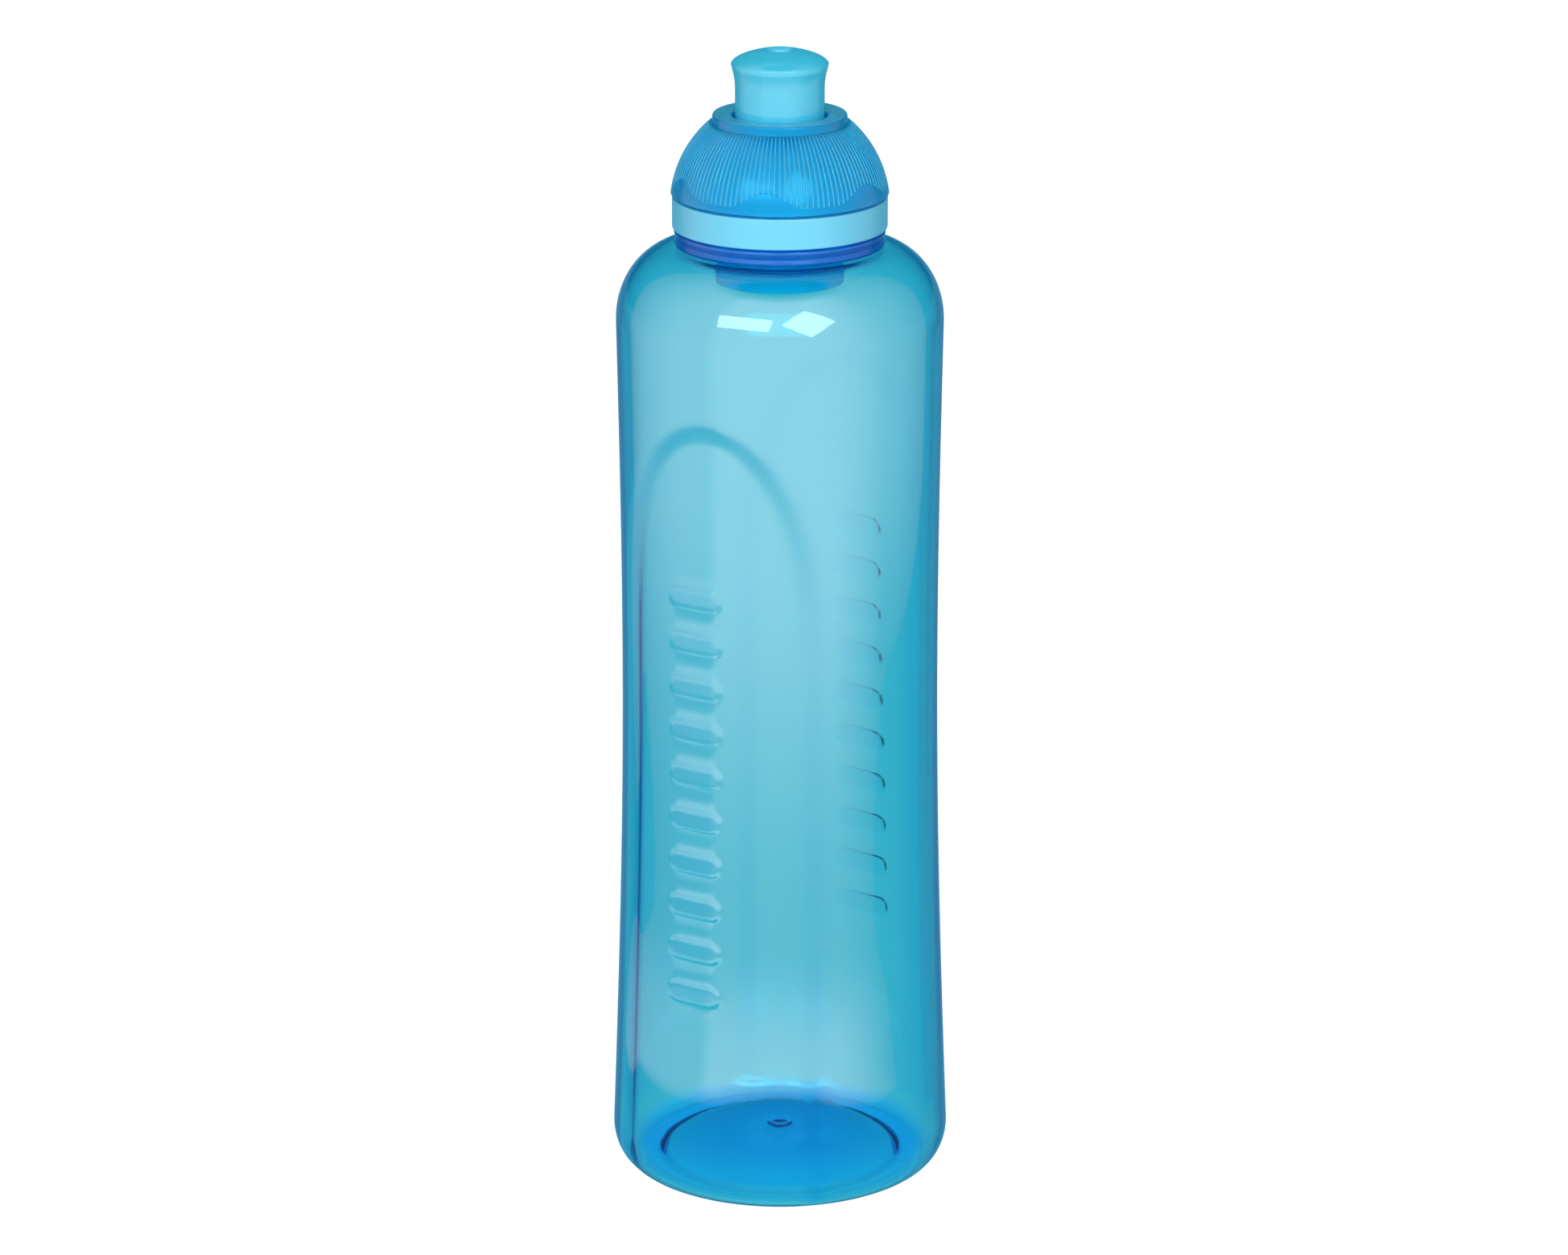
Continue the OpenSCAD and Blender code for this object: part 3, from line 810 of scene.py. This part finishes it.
CYAN_LOW, CYAN_HIGH = (0.05, 0.54, 0.76), (0.058, 0.565, 0.785)
SATIN_LOW, SATIN_HIGH = (0.11, 0.545, 0.76), (0.12, 0.56, 0.775)
CAP_PALE, CAP_DEEP, CAP_DYE = (0.03, 0.78, 0.98), (0.004, 0.19, 0.72), (0.0, 0.93, 0.985)
# the dome's paler crest colour is a painted highlight, not a colour of the plastic
DOME_GROUND, DOME_CREST_HIGHLIGHT, DOME_DYE = (0.002, 0.47, 0.79), (0.22, 0.88, 0.97), (0.0, 0.94, 0.98)

materials = {
    "bottle_plastic": clear_plastic("bottle_plastic", (0.0, 0.862, 0.985), 1000.0),
    "dome_plastic": dome_plastic("dome_plastic", DOME_GROUND, DOME_CREST_HIGHLIGHT, DOME_DYE, 600.0),
    "cap_plastic": cap_plastic("cap_plastic", CAP_PALE, CAP_DEEP, CAP_DYE, 900.0),
    "cyan_plastic": solid_plastic("cyan_plastic", CYAN_LOW, CYAN_HIGH, 0.06, gloss=0.24),
    "cyan_satin": solid_plastic("cyan_satin", SATIN_LOW, SATIN_HIGH, 0.3, gloss=0.4),
    "silicone": solid_plastic("silicone", (0.72, 0.80, 0.82), (0.80, 0.86, 0.88), 0.45),
}

for piece, slot_name in (
    (bottle, "bottle_plastic"),
    (cap, "cap_plastic"),
    (cover, "cyan_satin"),
    (dome, "dome_plastic"),
    (spout, "cyan_plastic"),
    (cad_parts["valve_insert"], "cyan_satin"),
    (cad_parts["neck_gasket"], "silicone"),
    (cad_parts["stem_seal"], "silicone"),
    (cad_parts["spout_o_ring"], "silicone"),
):
    piece.data.materials.clear()
    piece.data.materials.append(materials[slot_name])


# ---------------------------------------------------------------- floor, light and camera


FLOOR_SEEN, FLOOR_LIT, WORLD_LIT = 1.0, 0.55, 0.4
THROUGH, THROUGH_BASE = 0.65, 0.85  # what is seen through the plastic, and the same under the base
BOUNCED, INNER_LIT = 0.42, 1.9  # light from rays mirrored inside the plastic, and on opaque pieces inside it
FRONT_NEAR, FRONT_FAR, FAR_SHARE = 4.6, 5.6, 0.4  # the lit stretch that the plastic mirrors
WING_LEFT, WING_RIGHT, FAR_WING_LEFT, FAR_WING_RIGHT = 0.5, 0.05, 0.75, 0.5
MIRRORED_SIDE, SIDE_COLOUR = 0.5, (0.05, 0.60, 0.95)
SHADE_BACK, SHADE_EDGE = 0.008, (0.029, 0.038)  # the blue shadow under the base, in metres


class Studio:
    """Brightness of the table or the world by the kind of ray that meets it: seen, seen through plastic,
    mirrored or lighting. What the plastic mirrors is a dim blue but for a lit stretch in front."""

    def __init__(self, tree, x, y):
        self.tree = tree
        path = tree.nodes.new("ShaderNodeLightPath")
        self.seen = path.outputs["Is Camera Ray"]
        self.through = path.outputs["Is Transmission Ray"]
        self.inner = self.math("GREATER_THAN", path.outputs["Diffuse Depth"], 0.5)
        self.bounced = self.math("GREATER_THAN", path.outputs["Glossy Depth"], 0.5)
        self.mirrored = self.math("MULTIPLY", path.outputs["Is Glossy Ray"], path.outputs["Is Reflection Ray"])
        self.facing = self.math("ARCTAN2", x, self.math("MULTIPLY", y, -1.0))

    def math(self, operation, first, second, third=0.0):
        """One sum on numbers or other nodes' outputs."""
        node = self.tree.nodes.new("ShaderNodeMath")
        node.operation = operation
        for socket, value in zip(node.inputs, (first, second, third)):
            self.put(socket, value)
        return node.outputs[0]

    def put(self, socket, value):
        if isinstance(value, bpy.types.NodeSocket):
            self.tree.links.new(value, socket)
        else:
            socket.default_value = value

    def length(self, x, y):
        """How long the vector (x, y) is."""
        squares = self.math("MULTIPLY_ADD", x, x, self.math("MULTIPLY", y, y))
        return self.math("SQRT", squares, 0.0)

    def between(self, value, start, end, low, high):
        """`low` up to `start` and `high` from `end`, with a smooth change."""
        ramp = self.tree.nodes.new("ShaderNodeMapRange")
        ramp.interpolation_type = "SMOOTHSTEP"
        names = ("Value", "From Min", "From Max", "To Min", "To Max")
        for name, number in zip(names, (value, start, end, low, high)):
            self.put(ramp.inputs[name], number)
        return ramp.outputs["Result"]

    def front(self, far, backward):
        """The lit stretch in front: a bright middle, weaker wings that grow with `far`, 0 to 1, and a slow end
        as the direction turns `backward`, -1 to 1."""
        left = self.math("MULTIPLY_ADD", far, FAR_WING_LEFT - WING_LEFT, WING_LEFT)
        right = self.math("MULTIPLY_ADD", far, FAR_WING_RIGHT - WING_RIGHT, WING_RIGHT)
        turn = math.radians
        shape = self.between(self.facing, turn(-54), turn(-42), left, 1.0)
        shape = self.math("MULTIPLY", shape, self.between(self.facing, turn(28), turn(85), 1.0, right))
        return self.math("MULTIPLY", shape, self.between(backward, -0.5, 0.9, 1.0, 0.0))

    def colour(self, front, under=0.0):
        """White, and blue for what the plastic mirrors beside the lit stretch, for rays that were mirrored
        inside it on their way, and for `under`, the coloured shadow of the base."""
        mix = self.tree.nodes.new("ShaderNodeMix")
        mix.data_type = "RGBA"
        beside = self.math("MULTIPLY", self.mirrored, self.math("LESS_THAN", front, MIRRORED_SIDE))
        trapped = self.math("MULTIPLY", self.through, self.math("GREATER_THAN", self.bounced, self.inner))
        shade = self.math("MULTIPLY", self.through, under)
        blue = self.math("MAXIMUM", self.math("MAXIMUM", beside, trapped), shade)
        self.put(mix.inputs["Factor"], blue)
        mix.inputs["A"].default_value = (1, 1, 1, 1)
        mix.inputs["B"].default_value = (*SIDE_COLOUR, 1)
        return mix.outputs["Result"]

    def strength(self, lit, seen, through, mirrored):
        """`lit` is for light on opaque surfaces, and the others replace it for their rays. A ray that was
        mirrored inside the plastic on its way gets less, and one that lights an opaque piece inside gets more."""
        clear = self.math("MULTIPLY", through, self.math("MULTIPLY_ADD", self.bounced, BOUNCED - 1.0, 1.0))
        change = self.math("SUBTRACT", INNER_LIT, clear)
        clear = self.math("MULTIPLY_ADD", self.inner, change, clear)
        total = self.math("MULTIPLY_ADD", self.seen, seen - lit, lit)
        total = self.math("MULTIPLY_ADD", self.through, self.math("SUBTRACT", clear, lit), total)
        return self.math("MULTIPLY_ADD", self.mirrored, self.math("SUBTRACT", mirrored, lit), total)


def make_floor():
    """A pale table that glows a little."""
    half = 15.0
    corners = [(-half, -half, 0), (half, -half, 0), (half, half, 0), (-half, half, 0)]
    mesh = bpy.data.meshes.new("floor")
    mesh.from_pydata(corners, [], [(0, 1, 2, 3)])
    floor = bpy.data.objects.new("floor", mesh)
    bpy.context.scene.collection.objects.link(floor)
    n = Nodes("floor_paper")
    n.set("Base Color", n.blend(n.noise(6.0, 3.0), (0.075, 0.075, 0.075), (0.08, 0.08, 0.08)))
    n.set("Roughness", 0.9)
    n.set("Specular IOR Level", 0.1)
    split = n.tree.nodes.new("ShaderNodeSeparateXYZ")
    n.tree.links.new(n.place, split.inputs["Vector"])
    x, y = split.outputs["X"], split.outputs["Y"]
    studio = Studio(n.tree, x, y)
    # the lit stretch starts some way off, so that the base mirrors none of it
    away = studio.length(x, y)
    far = studio.between(away, 0.32, 0.62, 0.0, 1.0)
    wide = studio.length(studio.math("MULTIPLY", x, 1.25), y)
    near = studio.math(
        "MULTIPLY",
        studio.between(wide, 0.112, 0.135, 0.0, FRONT_NEAR),
        studio.between(away, 0.14, 0.22, 1.0, FAR_SHARE),
    )
    beyond = studio.between(away, 0.24, 0.52, 0.0, FRONT_FAR - FAR_SHARE * FRONT_NEAR)
    bright = studio.math("ADD", near, beyond)
    backward = studio.math("DIVIDE", y, away)
    front = studio.math("MULTIPLY", studio.front(far, backward), bright)
    mirrored = studio.math("MAXIMUM", front, MIRRORED_SIDE)
    # the shadow under the base
    shade_r = studio.length(x, studio.math("SUBTRACT", y, SHADE_BACK))
    through = studio.between(shade_r, *SHADE_EDGE, THROUGH_BASE, THROUGH)
    under = studio.between(shade_r, *SHADE_EDGE, 1.0, 0.0)
    n.set("Emission Color", studio.colour(front, under))
    n.set("Emission Strength", studio.strength(FLOOR_LIT, FLOOR_SEEN, through, mirrored))
    n.material.cycles.emission_sampling = "NONE"
    mesh.materials.append(n.material)


def make_world():
    """A white world with the lit stretch carried on up from the table, almost to the top."""
    world = bpy.data.worlds.new("studio")
    world.use_nodes = True
    tree = world.node_tree
    background = next(n for n in tree.nodes if n.type == "BACKGROUND")
    coordinates = tree.nodes.new("ShaderNodeTexCoord")
    split = tree.nodes.new("ShaderNodeSeparateXYZ")
    tree.links.new(coordinates.outputs["Generated"], split.inputs["Vector"])
    studio = Studio(tree, split.outputs["X"], split.outputs["Y"])
    fade = studio.between(split.outputs["Z"], 0.85, 0.995, FRONT_FAR, 0.0)
    front = studio.math("MULTIPLY", studio.front(1.0, split.outputs["Y"]), fade)
    mirrored = studio.math("MAXIMUM", front, MIRRORED_SIDE)
    tree.links.new(studio.colour(front), background.inputs["Color"])
    tree.links.new(studio.strength(WORLD_LIT, 1.0, THROUGH, mirrored), background.inputs["Strength"])
    world.cycles.sampling_method = "NONE"
    bpy.context.scene.world = world


AIM = Vector((0.0, 0.0, 0.2))  # the lights face this point, just under the cap


def panel(name, azimuth, elevation, distance, width, height, radiance, roll=0.0, seen=True, lights=True):
    """A soft light panel, placed by direction from AIM. Radiance is against a white of 1. `seen` says whether
    glossy surfaces mirror it, and `lights` whether it lights opaque ones."""
    a, e = math.radians(azimuth), math.radians(elevation)
    back = Vector((math.sin(a) * math.cos(e), -math.cos(a) * math.cos(e), math.sin(e)))
    data = bpy.data.lights.new(name, "AREA")
    data.shape = "RECTANGLE"
    data.size, data.size_y = width, height
    data.energy = radiance * math.pi * width * height
    lamp = bpy.data.objects.new(name, data)
    lamp.location = AIM + back * distance
    lamp.rotation_mode = "QUATERNION"
    lamp.rotation_quaternion = back.to_track_quat("Z", "Y") @ Quaternion((0, 0, 1), math.radians(roll))
    lamp.visible_glossy = seen
    lamp.visible_diffuse = lights
    bpy.context.scene.collection.objects.link(lamp)
    return lamp


def make_lights():
    """Two boxes that only show as the highlights on the shoulder, a fill behind and a key in front."""
    panel("box_left", -27.0, 28.0, 1.2, 0.78, 0.34, 7.8, lights=False)
    panel("box_right", 22.0, 29.0, 1.2, 0.56, 0.56, 7.8, roll=45.0, lights=False)
    fill = panel("fill_back", 170.0, 35.0, 1.5, 1.0, 0.8, 2.2, seen=False)
    fill.visible_transmission = False
    panel("key", -3.0, 30.0, 1.5, 1.1, 0.9, 4.8, seen=False)


def make_camera():
    """Straight in front, 1.2 m away and looking 17.5 degrees down."""
    pitch, distance = math.radians(17.5), 1.2
    aim = Vector((0.00087, 0.0, 0.12128))
    back = Vector((0, -math.cos(pitch), math.sin(pitch)))
    data = bpy.data.cameras.new("camera")
    data.sensor_width = 36.0
    data.lens = 128.04
    data.clip_start, data.clip_end = 0.05, 60.0
    camera = bpy.data.objects.new("camera", data)
    camera.location = aim + back * distance
    camera.rotation_mode = "QUATERNION"
    camera.rotation_quaternion = (-back).to_track_quat("-Z", "Y")
    bpy.context.scene.collection.objects.link(camera)
    bpy.context.scene.camera = camera


make_floor()
make_world()
make_lights()
make_camera()

scene = bpy.context.scene
scene.view_settings.view_transform = "Standard"
scene.cycles.max_bounces = 48
scene.cycles.transmission_bounces = 48
scene.cycles.glossy_bounces = 24
scene.cycles.diffuse_bounces = 4
scene.cycles.transparent_max_bounces = 16
scene.cycles.use_denoising = True
scene.cycles.sample_clamp_indirect = 8.0
